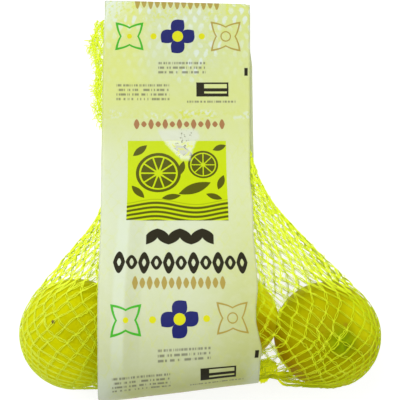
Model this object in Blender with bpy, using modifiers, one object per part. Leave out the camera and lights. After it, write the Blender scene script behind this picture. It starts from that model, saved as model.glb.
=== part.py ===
"""Net of three lemons with a film band round it, lying on its back with its label side up.

Metres, +Z up. The film's top edge points to +Y and the fruit lies towards -Y. The origin is
on the surface that the pack lies on, at the middle of its width and length.
"""

import bmesh
import bpy
import numpy as np


def mm(values):
    """Millimetres to metres."""
    return np.asarray(values, dtype=float) * 0.001


# Film band: one strip that runs down the front, round the foot of the fruit and up the back
FILM_WIDTH = mm(92.5)
FILM_THICKNESS = mm(0.5)
FILM_MIDDLE_AT_HEAD = mm(-14.5)
FILM_MIDDLE_AT_FOOT = mm(-11.5)
FILM_STEPS_PER_POINT = 4
FILM_STRIPS_ACROSS = 10

# Where the band passes, as (y, z) control points down its left edge and down its right edge
FILM_HEAD = [(114, 2.6), (84, 2.8), (52, 2.8), (24, 4), (-4, 20), (-31, 44)]
FILM_BACK = [(-60, 0.25), (0, 0.25), (62, 0.25)]
FILM_LEFT_FOOT = [
    (-54, 63),
    (-76, 70.5),
    (-98, 72),
    (-116, 64),
    (-123, 46),
    (-124, 24),
    (-116, 4),
    (-104, 0.25),
    (-90, 0.25),
]
FILM_RIGHT_FOOT = [
    (-54, 62),
    (-74, 67),
    (-92, 67.5),
    (-106, 59),
    (-112, 44),
    (-113, 24),
    (-107, 4),
    (-97, 0.25),
    (-84, 0.25),
]
FILM_LEFT_EDGE = mm([(123.4, 1.15), *FILM_HEAD, *FILM_LEFT_FOOT, *FILM_BACK, (123.4, 0.25)])
FILM_RIGHT_EDGE = mm([(121, 1.15), *FILM_HEAD, *FILM_RIGHT_FOOT, *FILM_BACK, (121, 0.25)])

# Lemons: middle, direction of the long axis, half width and half length
LEFT_LEMON = (mm([-74.4, -83.4, 35.0]), (-0.22, 0.30, 0.93), mm(32.6), mm(34.8))
MIDDLE_LEMON = (mm([3.5, -71.7, 32.8]), (1.0, 0.0, -0.03), mm(31.4), mm(38.5))
RIGHT_LEMON = (mm([75.6, -84.0, 36.0]), (0.11, 0.02, 0.99), mm(31.4), mm(35.8))
LEMONS = (LEFT_LEMON, MIDDLE_LEMON, RIGHT_LEMON)
TIP_STANDS_OUT = mm(3.0)
TIP_RADIUS = mm(9.0)

# Net: a knitted tube, flat between the film's two layers and taut over the fruit
NET_CLEAR_OF_FRUIT = mm(0.4)
CLEAR_OF_FILM = mm(0.75)
FILM_SIDE_MARGIN = mm(16.0)
TONGUE_LOW = mm(0.85)
TONGUE_HIGH = mm(2.0)
TONGUE_Y = mm([111, 103, 94, 84, 74, 64, 54, 46])
TONGUE_LEFT = mm([-65, -68.5, -69, -66.5, -66.5, -66.5, -65, -61.5])
TONGUE_RIGHT = mm([29, 29.5, 29.5, 29.5, 29.5, 29.5, 29.5, 29.5])

# Side lines of the tented net, seen from above, as x for each y
SIDE_Y = mm([-69, -57, -36, -12, -7, 10, 28, 46])
SIDE_LEFT = mm([-106.4, -97.8, -81, -60.5, -60, -60, -60, -61.5])
SIDE_RIGHT = mm([106.4, 95.2, 73.5, 51, 46.5, 36.5, 31, 29.5])

NET_COLUMNS = 68
NET_TENT_ROWS = 13
NET_FRUIT_ROWS = 20
NET_FOOT_Y = mm(-115.6)
TENT_END_Y = mm(-52)
DIRECTIONS = 360
ELLIPSE_POINTS = 48
SLACK_STEPS = 80
TOUCHING = 1.02
FLAT_BELOW = mm(0.9)


def add_material(name, colour, roughness):
    """Plain Principled finish."""
    material = bpy.data.materials.new(name)
    material.use_nodes = True
    shader = material.node_tree.nodes["Principled BSDF"]
    shader.inputs["Base Color"].default_value = (*colour, 1.0)
    shader.inputs["Roughness"].default_value = roughness
    shader.inputs["Metallic"].default_value = 0.0
    return material


def b_spline(points, spans):
    """Smooth line of a few control points, which starts and ends on the first and last."""
    ends = np.vstack([2 * points[0] - points[1], points, 2 * points[-1] - points[-2]])
    line = []
    for start in range(len(ends) - 3):
        a, b, c, d = ends[start : start + 4]
        for t in np.arange(spans) / spans:
            line.append(
                (
                    (1 - t) ** 3 * a
                    + (3 * t**3 - 6 * t**2 + 4) * b
                    + (-3 * t**3 + 3 * t**2 + 3 * t + 1) * c
                    + t**3 * d
                )
                / 6
            )
    line.append(points[-1])
    return np.array(line)


FILM_LEFT_LINE = b_spline(FILM_LEFT_EDGE, FILM_STEPS_PER_POINT)
FILM_RIGHT_LINE = b_spline(FILM_RIGHT_EDGE, FILM_STEPS_PER_POINT)
FILM_MEAN_LINE = (FILM_LEFT_LINE + FILM_RIGHT_LINE) / 2


def film_middle(y):
    """X of the band's middle line at a place along the pack."""
    ease = (FILM_MEAN_LINE[0, 0] - y) / np.ptp(FILM_MEAN_LINE[:, 0])
    ease = ease * ease * (3 - 2 * ease)
    return FILM_MIDDLE_AT_HEAD + (FILM_MIDDLE_AT_FOOT - FILM_MIDDLE_AT_HEAD) * ease


def fruit_bodies():
    """Middle, axis, half width and half length of each fruit and of the tip at its end."""
    bodies = []
    for middle, direction, half_width, half_length in LEMONS:
        axis = np.array(direction) / np.linalg.norm(direction)
        bodies.append((middle, axis, half_width, half_length))
        reach = half_length + TIP_STANDS_OUT - TIP_RADIUS
        bodies.append((middle + axis * reach, axis, TIP_RADIUS, TIP_RADIUS))
    return bodies


def fruit_depth(points, body):
    """How far out points lie from a fruit's middle: 1 is where the net touches its skin."""
    middle, axis, half_width, half_length = body
    away = points - middle
    along = away @ axis
    across = away - along[..., None] * axis
    wide = half_width + NET_CLEAR_OF_FRUIT
    long = half_length + NET_CLEAR_OF_FRUIT
    return np.sqrt((across**2).sum(axis=-1) / wide**2 + along**2 / long**2)


def push_off_fruit(net):
    """Move points that are inside a fruit out to its skin."""
    for body in fruit_bodies():
        depth = fruit_depth(net, body)
        inside = depth < 1
        middle = body[0]
        net[inside] = middle + (net[inside] - middle) / depth[inside][:, None]


def keep_inside_film(net):
    """Hold what the band covers between its front, its foot and its back."""
    points = net.reshape(-1, 3)
    aside = points[:, 0] - film_middle(points[:, 1])
    near = np.abs(aside) < FILM_WIDTH / 2 + FILM_SIDE_MARGIN
    share = np.clip(aside[near] / FILM_WIDTH + 0.5, 0, 1)
    line = FILM_LEFT_LINE + share[:, None, None] * (FILM_RIGHT_LINE - FILM_LEFT_LINE)
    start, step = line[:, :-1], np.diff(line, axis=1)
    where = points[near][:, None, 1:]
    along = ((where - start) * step).sum(axis=-1) / (step**2).sum(axis=-1)
    nearest = start + np.clip(along, 0, 1)[..., None] * step
    best = np.linalg.norm(where - nearest, axis=-1).argmin(axis=1)
    row = np.arange(len(best))
    foot = nearest[row, best]
    inward = np.stack([step[row, best, 1], -step[row, best, 0]], axis=1)
    inward = -inward / np.linalg.norm(inward, axis=1, keepdims=True)
    depth = ((where[:, 0] - foot) * inward).sum(axis=1)
    short = np.maximum(CLEAR_OF_FILM - depth, 0)
    points[near, 1:] += inward * short[:, None]
    net[:] = points.reshape(net.shape)


def upper_line(points, at):
    """Height at the places asked of the string drawn taut over (place, height) points."""
    taut = []
    for point in points[np.lexsort((points[:, 1], points[:, 0]))]:
        while len(taut) > 1:
            (ax, ay), (bx, by) = taut[-2], taut[-1]
            if (bx - ax) * (point[1] - ay) < (by - ay) * (point[0] - ax):
                break
            taut.pop()
        taut.append(point)
    taut = np.array(taut)
    return np.interp(at, taut[:, 0], taut[:, 1])


def flat_loop(left, right, low, high):
    """Long thin closed section: out along its top from left to right and back below."""
    turn = 2 * np.pi * np.arange(NET_COLUMNS) / NET_COLUMNS
    x = left + (1 - np.cos(turn)) / 2 * (right - left)
    bulge = np.sign(np.sin(turn)) * np.sqrt(np.abs(np.sin(turn)))
    return np.stack([x, (low + high) / 2 + bulge * (high - low) / 2], axis=1)


def even_loop(loop):
    """Points evenly round a closed section, half of them above its two outer ends."""
    left, right = loop[:, 0].argmin(), loop[:, 0].argmax()
    half = NET_COLUMNS // 2
    halves = []
    for first, last in ((left, right), (right, left)):
        count = (last - first) % len(loop)
        run = loop[(first + np.arange(count + 1)) % len(loop)]
        length = np.append(0, np.cumsum(np.linalg.norm(np.diff(run, axis=0), axis=1)))
        at = np.arange(half) / half * length[-1]
        halves.append(
            np.stack([np.interp(at, length, run[:, i]) for i in range(2)], axis=1)
        )
    return np.concatenate(halves)


def taut_sections(rows_y):
    """Sections of the skin drawn taut round the fruit and the end of the tongue."""
    turn = -2 * np.pi * np.arange(DIRECTIONS) / DIRECTIONS
    reach = []
    for angle in turn:
        out = np.array([np.cos(angle), 0, np.sin(angle)])
        points = [
            (TONGUE_Y[-1], out @ (x, 0, z))
            for x in (TONGUE_LEFT[-1], TONGUE_RIGHT[-1])
            for z in (TONGUE_LOW, TONGUE_HIGH)
        ]
        for middle, axis, half_width, half_length in fruit_bodies():
            wide = half_width + NET_CLEAR_OF_FRUIT
            long = half_length + NET_CLEAR_OF_FRUIT
            stretch = wide**2 * np.eye(3) + (long**2 - wide**2) * np.outer(axis, axis)
            for part in 2 * np.pi * np.arange(ELLIPSE_POINTS) / ELLIPSE_POINTS:
                way = np.cos(part) * out + np.sin(part) * np.array([0, 1, 0])
                skin = middle + stretch @ way / np.sqrt(way @ stretch @ way)
                points.append((skin[1], out @ skin))
        reach.append(upper_line(np.array(points), rows_y))
    reach = np.array(reach)
    step = turn[1] - turn[0]
    slope = (np.roll(reach, -1, axis=0) - np.roll(reach, 1, axis=0)) / (2 * step)
    x = reach * np.cos(turn)[:, None] - slope * np.sin(turn)[:, None]
    z = reach * np.sin(turn)[:, None] + slope * np.cos(turn)[:, None]
    return np.stack([x.T, z.T], axis=-1)


def net_rows():
    """Rows of the net tube, from its tongue between the film's layers to its foot."""
    tongue = [
        np.insert(flat_loop(left, right, TONGUE_LOW, TONGUE_HIGH), 1, y, axis=1)
        for y, left, right in zip(TONGUE_Y, TONGUE_LEFT, TONGUE_RIGHT, strict=True)
    ]
    tent_y = np.linspace(TONGUE_Y[-1], TENT_END_Y, NET_TENT_ROWS + 1)[1:]
    turn = np.pi * np.arange(1, NET_FRUIT_ROWS + 1) / NET_FRUIT_ROWS
    fruit_y = TENT_END_Y + (NET_FOOT_Y - TENT_END_Y) * (1 - np.cos(turn)) / 2
    rows_y = np.concatenate([tent_y, fruit_y])
    front = FILM_MEAN_LINE[: FILM_MEAN_LINE[:, 1].argmax()]
    body = []
    for y, section in zip(rows_y, taut_sections(rows_y), strict=True):
        left, right = section[:, 0].min(), section[:, 0].max()
        new_left = max(left, np.interp(y, SIDE_Y, SIDE_LEFT))
        new_right = min(right, np.interp(y, SIDE_Y, SIDE_RIGHT))
        section[:, 0] = np.interp(section[:, 0], (left, right), (new_left, new_right))
        roof = np.interp(-y, -front[:, 0], front[:, 1]) - CLEAR_OF_FILM
        section[:, 1] *= min(1, roof / section[:, 1].max())
        body.append(np.insert(even_loop(section), 1, y, axis=1))
    net = np.array(tongue + body)
    first = len(tongue)
    push_off_fruit(net[first:])
    held = np.any([fruit_depth(net, each) < TOUCHING for each in fruit_bodies()], axis=0)
    held[:first] = True
    held[-1] = True
    held[:, [0, NET_COLUMNS // 2]] = True
    for _ in range(SLACK_STEPS):
        around = np.roll(net, 1, axis=1) + np.roll(net, -1, axis=1)
        down = np.roll(net, 1, axis=0) + np.roll(net, -1, axis=0)
        net = np.where(held[..., None], net, (around + down) / 4)
        push_off_fruit(net[first:])
    keep_inside_film(net[first:])
    net[..., 2] = np.maximum(net[..., 2], 0)
    low = net[..., 2] < FLAT_BELOW
    beside = np.abs(net[..., 0] - FILM_MIDDLE_AT_FOOT) > FILM_WIDTH / 2 + FILM_SIDE_MARGIN
    beside[:first] = False
    net[..., 2][low & beside] = 0
    return net


def make_film(collection):
    """The band: one sheet through both edge lines, given its thickness."""
    mesh = bpy.data.meshes.new("film_band")
    sheet = bmesh.new()
    rows = []
    for left, right in zip(FILM_LEFT_LINE, FILM_RIGHT_LINE, strict=True):
        row = []
        for strip in range(FILM_STRIPS_ACROSS + 1):
            share = strip / FILM_STRIPS_ACROSS
            y, z = left + share * (right - left)
            x = film_middle(y) + (share - 0.5) * FILM_WIDTH
            row.append(sheet.verts.new((x, y, z)))
        rows.append(row)
    for upper, lower in zip(rows, rows[1:], strict=False):
        for strip in range(FILM_STRIPS_ACROSS):
            sheet.faces.new(
                (upper[strip], lower[strip], lower[strip + 1], upper[strip + 1])
            )
    sheet.to_mesh(mesh)
    sheet.free()
    film = bpy.data.objects.new("film_band", mesh)
    collection.objects.link(film)
    thickness = film.modifiers.new("Thickness", "SOLIDIFY")
    thickness.thickness = FILM_THICKNESS
    thickness.offset = 0.0
    mesh.materials.append(add_material("milky_film", (0.76, 0.80, 0.58), 0.4))
    mesh.shade_smooth()
    return film


def make_net(collection):
    """The net with the fruit in it: a loft down its rows, shut at both ends."""
    mesh = bpy.data.meshes.new("net_bag")
    loft = bmesh.new()
    rows = [[loft.verts.new(point) for point in row] for row in net_rows()]
    for upper, lower in zip(rows, rows[1:], strict=False):
        for column in range(NET_COLUMNS):
            after = (column + 1) % NET_COLUMNS
            loft.faces.new((upper[column], lower[column], lower[after], upper[after]))
    for end in (rows[0], rows[-1]):
        for column in range(NET_COLUMNS // 2 - 1):
            back = NET_COLUMNS - 1 - column
            corners = [end[column], end[column + 1], end[back]]
            if column:
                corners.append(end[back + 1])
            loft.faces.new(corners)
        half = NET_COLUMNS // 2
        loft.faces.new((end[half - 1], end[half], end[half + 1]))
    bmesh.ops.recalc_face_normals(loft, faces=loft.faces)
    loft.to_mesh(mesh)
    loft.free()
    net = bpy.data.objects.new("net_bag", mesh)
    collection.objects.link(net)
    mesh.materials.append(add_material("lime_yellow_net", (0.72, 0.78, 0.08), 0.5))
    mesh.shade_smooth()
    return net


def main():
    for old in list(bpy.data.objects):
        bpy.data.objects.remove(old, do_unlink=True)
    collection = bpy.data.collections.new("net_of_lemons")
    bpy.context.scene.collection.children.link(collection)
    make_film(collection)
    make_net(collection)


main()
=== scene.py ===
# A net of three lemons, held at its head in one band of milky printed film, lying on its back
# with the label side up. Metres; +Y runs to the film's head, the fruit lies towards -Y.
import math
import random

import bmesh
import bpy
import numpy as np
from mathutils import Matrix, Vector, noise


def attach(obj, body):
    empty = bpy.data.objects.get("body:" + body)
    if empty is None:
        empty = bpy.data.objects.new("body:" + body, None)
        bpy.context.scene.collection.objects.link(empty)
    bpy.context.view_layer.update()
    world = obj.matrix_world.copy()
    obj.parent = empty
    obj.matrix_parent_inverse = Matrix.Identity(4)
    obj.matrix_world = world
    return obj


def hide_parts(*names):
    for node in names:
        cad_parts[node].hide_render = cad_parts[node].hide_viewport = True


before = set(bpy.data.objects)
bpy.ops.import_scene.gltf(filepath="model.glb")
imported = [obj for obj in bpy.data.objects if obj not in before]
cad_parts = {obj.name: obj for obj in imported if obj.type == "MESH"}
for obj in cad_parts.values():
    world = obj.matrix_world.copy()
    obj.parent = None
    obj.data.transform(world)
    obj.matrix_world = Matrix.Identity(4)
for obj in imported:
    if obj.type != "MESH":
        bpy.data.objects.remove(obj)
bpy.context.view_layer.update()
MM = 0.001

# Lemons
# Three ripe lemons, each a plump turned body with a blunt nipple at one end. The rind is waxy,
# pitted with oil glands, browner where it was rubbed, and still green round one stalk end.
LEFT_LEMON = ((-74.4, -83.4, 35.0), (-0.22, 0.30, 0.93), 32.6, 34.8)
MIDDLE_LEMON = ((4.6, -73.6, 33.0), (-0.985, 0.07, 0.14), 31.4, 43.6)
RIGHT_LEMON = ((75.6, -84.0, 36.0), (0.11, 0.02, 0.99), 31.4, 35.8)
LEMON_TIP = 3.0
LEMON_TIP_SPREAD = 7.5
LEMON_DENT = 0.7
LEMON_RINGS = 96
LEMON_SEGMENTS = 144
# Painted light: the rind glows this much in its own colour, which lifts its shaded sides.
RIND_GLOW = 0.32


class Value:
    """One number, colour or vector in a material; arithmetic on it adds Math nodes."""

    def __init__(self, tree, socket):
        self.tree = tree
        self.socket = socket

    def math(self, operation, *terms):
        node = self.tree.nodes.new("ShaderNodeMath")
        node.operation = operation
        for place, term in zip(node.inputs, terms, strict=False):
            if isinstance(term, Value):
                self.tree.links.new(term.socket, place)
            else:
                place.default_value = term
        return Value(self.tree, node.outputs[0])

    def __add__(self, other):
        return self.math("ADD", self, other)

    def __radd__(self, other):
        return self.math("ADD", other, self)

    def __sub__(self, other):
        return self.math("SUBTRACT", self, other)

    def __rsub__(self, other):
        return self.math("SUBTRACT", other, self)

    def __mul__(self, other):
        return self.math("MULTIPLY", self, other)

    def __rmul__(self, other):
        return self.math("MULTIPLY", other, self)

    def __truediv__(self, other):
        return self.math("DIVIDE", self, other)

    def __rtruediv__(self, other):
        return self.math("DIVIDE", other, self)

    def __pow__(self, other):
        return self.math("POWER", self, other)

    def size(self):
        return self.math("ABSOLUTE", self)

    def or_more(self, other):
        return self.math("MAXIMUM", self, other)

    def or_less(self, other):
        return self.math("MINIMUM", self, other)

    def wave(self):
        return self.math("SINE", self)

    def rise(self, low, high):
        """0 up to low and 1 from high, eased between."""
        node = self.tree.nodes.new("ShaderNodeMapRange")
        node.interpolation_type = "SMOOTHSTEP"
        self.tree.links.new(self.socket, node.inputs["Value"])
        for name, bound in (("From Min", low), ("From Max", high)):
            node.inputs[name].default_value = bound
        return Value(self.tree, node.outputs[0])


class Finish:
    """A material in the making, round its Principled shader."""

    def __init__(self, name, **settings):
        self.material = bpy.data.materials.new(name)
        self.material.use_nodes = True
        self.tree = self.material.node_tree
        self.shader = self.tree.nodes["Principled BSDF"]
        for socket, value in settings.items():
            self.shader.inputs[socket.replace("_", " ")].default_value = value

    def node(self, kind, settings=(), inputs=(), output=0):
        """Any other node: its type, its settings, its sockets' values or links, its output."""
        node = self.tree.nodes.new(kind)
        for name, value in dict(settings).items():
            setattr(node, name, value)
        for name, value in dict(inputs).items():
            if isinstance(value, Value):
                self.tree.links.new(value.socket, node.inputs[name])
            else:
                node.inputs[name].default_value = value
        return Value(self.tree, node.outputs[output])

    def mix(self, share, first, second):
        """Colour between two colours."""
        colours = {
            key: (*colour, 1.0) if isinstance(colour, tuple) else colour
            for key, colour in ((6, first), (7, second))
        }
        return self.node(
            "ShaderNodeMix", {"data_type": "RGBA"}, {0: share, **colours}, output=2
        )

    def place(self):
        return self.node("ShaderNodeTexCoord", output="Object")

    def mottle(self, where, size, detail=2.0):
        """Soft random value from 0 to 1, with patches about size metres across."""
        inputs = {"Vector": where, "Scale": 1 / size, "Detail": detail}
        return self.node("ShaderNodeTexNoise", inputs=inputs)

    def distance(self, where, point):
        inputs = {0: where, 1: point}
        return self.node("ShaderNodeVectorMath", {"operation": "DISTANCE"}, inputs, "Value")

    def feed(self, **links):
        for socket, value in links.items():
            self.tree.links.new(value.socket, self.shader.inputs[socket.replace("_", " ")])

    def bump(self, height, depth, strength=1.0):
        inputs = {"Height": height, "Distance": depth, "Strength": strength}
        self.feed(Normal=self.node("ShaderNodeBump", inputs=inputs))


def srgb(red, green, blue):
    """Linear colour of a colour as a screen shows it, 0 to 255."""
    shares = [c / 255 for c in (red, green, blue)]
    return tuple(c / 12.92 if c < 0.04045 else ((c + 0.055) / 1.055) ** 2.4 for c in shares)


def add_piece(name, mesh, finish, slot, *nodes):
    """A smooth-shaded piece on the pack's one body, standing for CAD nodes."""
    piece = bpy.data.objects.new(name, mesh)
    bpy.context.scene.collection.objects.link(piece)
    mesh.materials.append(finish.material)
    mesh.shade_smooth()
    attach(piece, "root")
    if nodes:
        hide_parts(*nodes)
    return piece


def lemon_axis(lemon):
    return Vector(lemon[1]).normalized()


def lemon_end(lemon):
    """Top of the nipple, in metres."""
    return (Vector(lemon[0]) + lemon_axis(lemon) * (lemon[3] + LEMON_TIP)) * MM


def make_lemon(name, lemon, finish, seed, star=0.0):
    """Turned body, drawn out to its nipple, a little uneven; star cuts furrows at its end."""
    middle, _, half_width, half_length = lemon
    turn = lemon_axis(lemon).to_track_quat("Z", "Y")
    shape = bmesh.new()
    bmesh.ops.create_uvsphere(
        shape, u_segments=LEMON_SEGMENTS, v_segments=LEMON_RINGS, radius=1.0
    )
    for vert in shape.verts:
        x, y, z = vert.co
        across = math.hypot(x, y) * half_width
        height = z * half_length
        if z > 0:
            height += LEMON_TIP * math.exp(-((across / LEMON_TIP_SPREAD) ** 2))
            furrow = math.exp(-(((across - 5.5) / 4.0) ** 2))
            height -= star * furrow * (0.5 + 0.5 * math.cos(5 * math.atan2(y, x)))
        point = Vector((x * half_width, y * half_width, height))
        lump = noise.noise(point / 26.0 + Vector((seed, 0, 0)))
        lump += 0.4 * noise.noise(point / 9.0 + Vector((0, seed, 0)))
        point *= 1 - LEMON_DENT * (0.5 + 0.5 * lump) / half_width
        vert.co = (Vector(middle) + turn @ point) * MM
    mesh = bpy.data.meshes.new(name)
    shape.to_mesh(mesh)
    shape.free()
    return add_piece(name, mesh, finish, "net", "net_bag")


def lemon_finish(name, bright, deep, painted_light_and_shade=(), blemishes=(), green=None):
    """Waxy rind between two yellows, with patches of painted light and painted shade, brown rubs and a green end.
    """
    finish = Finish(name, Roughness=0.5, Specular_IOR_Level=0.012, Emission_Strength=RIND_GLOW)
    place = finish.place()
    broad = finish.mottle(place, 0.030, 3.0).rise(0.35, 0.65)
    colour = finish.mix(broad, bright, deep)
    # Painted light and shade: each listed patch makes the rind lighter where light falls on it, or darker and
    # browner where it is shaded.
    for point, radius, painted_tone in painted_light_and_shade:
        reach = finish.distance(place, point) + 0.010 * finish.mottle(place, 0.02)
        colour = finish.mix(1 - reach.rise(radius * 0.45, radius), colour, painted_tone)
    freckle = finish.mottle(place, 0.0032, 4.0).rise(0.56, 0.72)
    colour = finish.mix(freckle * 0.22, colour, srgb(140, 122, 2))
    if green is not None:
        spread = finish.distance(place, green[0]) + 0.006 * finish.mottle(place, 0.012)
        colour = finish.mix(0.80 * (1 - spread.rise(0.006, 0.0165)), colour, green[1])
        colour = finish.mix(1 - spread.rise(0.0035, 0.0050), colour, srgb(70, 80, 15))
    for point, radius in blemishes:
        reach = finish.distance(place, point) + 0.003 * finish.mottle(place, 0.003)
        colour = finish.mix(
            0.55 * (1 - reach.rise(radius * 0.7, radius * 1.5)), colour, srgb(128, 92, 20)
        )
    finish.feed(Base_Color=colour, Emission_Color=colour)
    glands = finish.node(
        "ShaderNodeTexVoronoi",
        {"feature": "SMOOTH_F1"},
        {"Vector": place, "Scale": 620.0, "Smoothness": 0.6},
    )
    height = glands + 1.2 * finish.mottle(place, 0.004)
    finish.bump(height, 0.00035, 0.8)
    finish.feed(Roughness=0.36 + 0.16 * finish.mottle(place, 0.006, 3.0))
    return finish


# The patches listed for each rind are painted light and painted shade.
left_rind = lemon_finish(
    "left_rind",
    srgb(170, 172, 2),
    srgb(161, 161, 0),
    painted_light_and_shade=[
        ((-0.1060, -0.0750, 0.0400), 0.040, srgb(182, 186, 6)),
        ((-0.0480, -0.0860, 0.0520), 0.036, srgb(162, 160, 0)),
        ((-0.0690, -0.0760, 0.0690), 0.020, srgb(154, 154, 0)),
        ((-0.0800, -0.1080, 0.0480), 0.038, srgb(186, 187, 4)),
        ((-0.1020, -0.0960, 0.0440), 0.032, srgb(192, 194, 8)),
    ],
    blemishes=[((-0.0560, -0.0650, 0.0600), 0.0035)],
)
middle_rind = lemon_finish(
    "middle_rind",
    srgb(206, 208, 8),
    srgb(186, 182, 2),
    painted_light_and_shade=[((0.0360, -0.0840, 0.0520), 0.026, srgb(156, 134, 0))],
)
right_rind = lemon_finish(
    "right_rind",
    srgb(151, 149, 1),
    srgb(141, 136, 0),
    painted_light_and_shade=[
        ((0.0480, -0.0980, 0.0400), 0.036, srgb(138, 112, 0)),
        ((0.0740, -0.0840, 0.0720), 0.026, srgb(130, 125, 0)),
        ((0.0980, -0.0720, 0.0560), 0.028, srgb(174, 176, 6)),
        ((0.0900, -0.1060, 0.0500), 0.026, srgb(172, 166, 2)),
    ],
    blemishes=[((0.0690, -0.0775, 0.0705), 0.0020), ((0.0820, -0.0735, 0.0690), 0.0022)],
    green=(tuple(lemon_end(RIGHT_LEMON)), srgb(106, 132, 1)),
)
make_lemon("lemon_left", LEFT_LEMON, left_rind, 1.7, star=0.5)
make_lemon("lemon_middle", MIDDLE_LEMON, middle_rind, 5.2)
make_lemon("lemon_right", RIGHT_LEMON, right_rind, 9.4, star=1.6)

# Stalk stub
# The dry brown button of stalk left on the end of the left lemon when it was cut from the tree.
STALK_RADIUS = 1.25
STALK_HEIGHT = 1.5
stalk_finish = Finish("dry_stalk", Roughness=0.85)
stalk_place = stalk_finish.place()
stalk_finish.feed(
    Base_Color=stalk_finish.mix(
        stalk_finish.mottle(stalk_place, 0.0008), srgb(70, 56, 12), srgb(120, 104, 30)
    )
)
stalk = bmesh.new()
bmesh.ops.create_cone(
    stalk,
    cap_ends=True,
    segments=14,
    radius1=STALK_RADIUS,
    radius2=STALK_RADIUS * 0.75,
    depth=STALK_HEIGHT,
)
bmesh.ops.bevel(stalk, geom=stalk.edges[:], offset=0.18, segments=2, affect="EDGES")
stalk_turn = lemon_axis(LEFT_LEMON).to_track_quat("Z", "Y")
for vert in stalk.verts:
    rough = 1 + 0.12 * noise.noise(vert.co * 1.7)
    end = Vector(LEFT_LEMON[0]) + lemon_axis(LEFT_LEMON) * (LEFT_LEMON[3] + LEMON_TIP - 0.2)
    vert.co = (end + stalk_turn @ (vert.co * rough)) * MM
stalk_mesh = bpy.data.meshes.new("lemon_left_stalk")
stalk.to_mesh(stalk_mesh)
stalk.free()
add_piece("lemon_left_stalk", stalk_mesh, stalk_finish, "net")

# Net
# A tube knitted from flat lime-yellow yarn, two filaments to a strand with a knot where strands
# meet. It is drawn flat between the film's layers and pulled open over the fruit.
NET_MESHES_ROUND = 64
TONGUE_HEAD_Y = 110.5
TONGUE_FOOT_Y = 46.0
TENT_FOOT_Y = -52.0
TONGUE_ROWS = 12
TENT_ROWS = 17
FRUIT_ROWS = 20
YARN_RADIUS = 0.26
YARN_RADIUS_ON_FRUIT = 0.225
YARN_APART_AT_KNOT = 0.14
YARN_APART_BETWEEN = 0.46
YARN_STRAY = 0.22
YARN_STEPS = 4
SLACK_SWING = (0.5, 1.5)
SLACK_ON_FRUIT = 0.3
SLACK_RADIUS = 0.23
FOLD_LAYERS = 2
FOLD_COLUMNS = 5
YARN_SIDES = 3
KNOT_SIZE = (0.62, 0.50, 0.34)
NET_OFF_FRUIT = 0.45
NET_LOWEST = 0.5
NET_SHIFT_ROUND = 0.9
NET_SHIFT_ALONG = 0.65
NET_JITTER = 0.24
GATHER = np.array((39.5, -113.5, 21.0))
GATHER_REACH = 13.0
GATHER_PULL = 0.55
GATHER_CRUMPLE = 2.4
NOTCH_LINE = (
    (34.0, -122.0),
    (37.0, -113.6),
    (43.8, -110.5),
    (49.5, -112.4),
    (54.5, -118.4),
    (60.0, -124.0),
)
NOTCH_LEAN = (-0.076, 0.19)
NOTCH_BUNCHING = 0.1

net_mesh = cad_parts["net_bag"].data
net_mesh.calc_loop_triangles()
skin_points = np.array([vert.co for vert in net_mesh.vertices]) / MM
skin_faces = np.array([face.vertices for face in net_mesh.loop_triangles])

# The foot isn't level: the line of the lowest skin along the pack's width
foot_x = np.arange(-76, 77, 4.0)
foot_y = np.array([skin_points[np.abs(skin_points[:, 0] - x) < 7, 1].min() for x in foot_x])
LEVEL_FOOT = foot_y.min() + 0.15


def net_level(points):
    """How far down the tube points are: Y, but reckoned to the foot over the fruit."""
    foot = np.interp(points[:, 0], foot_x, foot_y)
    share = (points[:, 1] - TENT_FOOT_Y) / (foot - TENT_FOOT_Y)
    over_fruit = TENT_FOOT_Y + share * (foot_y.min() - TENT_FOOT_Y)
    return np.where(points[:, 1] > TENT_FOOT_Y, points[:, 1], over_fruit)


skin_level = net_level(skin_points)


def skin_section(level, count):
    """Points evenly round the CAD skin at one level, its left end first and over the front."""
    below = skin_level[skin_faces] < level
    next_to = {}
    places = {}
    for face in skin_faces[(below.sum(axis=1) % 3) != 0]:
        cut = []
        for a, b in ((0, 1), (1, 2), (2, 0)):
            start, end = sorted((face[a], face[b]), key=lambda i: tuple(skin_points[i]))
            low, high = skin_level[start], skin_level[end]
            if (low < level) != (high < level):
                share = (level - low) / (high - low)
                point = skin_points[start] + share * (skin_points[end] - skin_points[start])
                name = tuple(np.round(point, 3))
                places[name] = point
                cut.append(name)
        for one, other in (cut, cut[::-1]):
            next_to.setdefault(one, []).append(other)
    loops = []
    left_over = set(next_to)
    while left_over:
        walk = [min(left_over)]
        left_over.discard(walk[0])
        while True:
            onward = [name for name in next_to[walk[-1]] if name in left_over]
            if not onward:
                break
            walk.append(onward[0])
            left_over.discard(onward[0])
        loops.append(walk)
    loop = np.array([places[name] for name in max(loops, key=len)])
    x, z = loop[:, 0], loop[:, 2]
    if (x * np.roll(z, -1) - z * np.roll(x, -1)).sum() > 0:
        loop = loop[::-1]
    left, right = loop[:, 0].argmin(), loop[:, 0].argmax()
    half = count // 2
    halves = []
    for first, last in ((left, right), (right, left)):
        run = loop[(first + np.arange((last - first) % len(loop) + 1)) % len(loop)]
        length = np.append(0, np.cumsum(np.linalg.norm(np.diff(run, axis=0), axis=1)))
        at = np.arange(half) / half * length[-1]
        halves.append(np.stack([np.interp(at, length, run[:, i]) for i in range(3)], axis=1))
    return np.concatenate(halves)


def off_fruit(points, clear):
    """Points moved out of the lemons to just clear of their rind."""
    points = points.copy()
    for lemon in (LEFT_LEMON, MIDDLE_LEMON, RIGHT_LEMON):
        middle, axis = np.array(lemon[0]), np.array(lemon_axis(lemon))
        reach = lemon[3] + LEMON_TIP - 9.0
        for centre, wide, long in (
            (middle, lemon[2], lemon[3]),
            (middle + axis * reach, 9.0, 9.0),
        ):
            away = points - centre
            along = away @ axis
            across = np.linalg.norm(away - along[..., None] * axis, axis=-1)
            depth = np.hypot(across / (wide + clear), along / (long + clear))
            inside = depth < 1
            points[inside] = centre + away[inside] / depth[inside][:, None]
    return points


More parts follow.
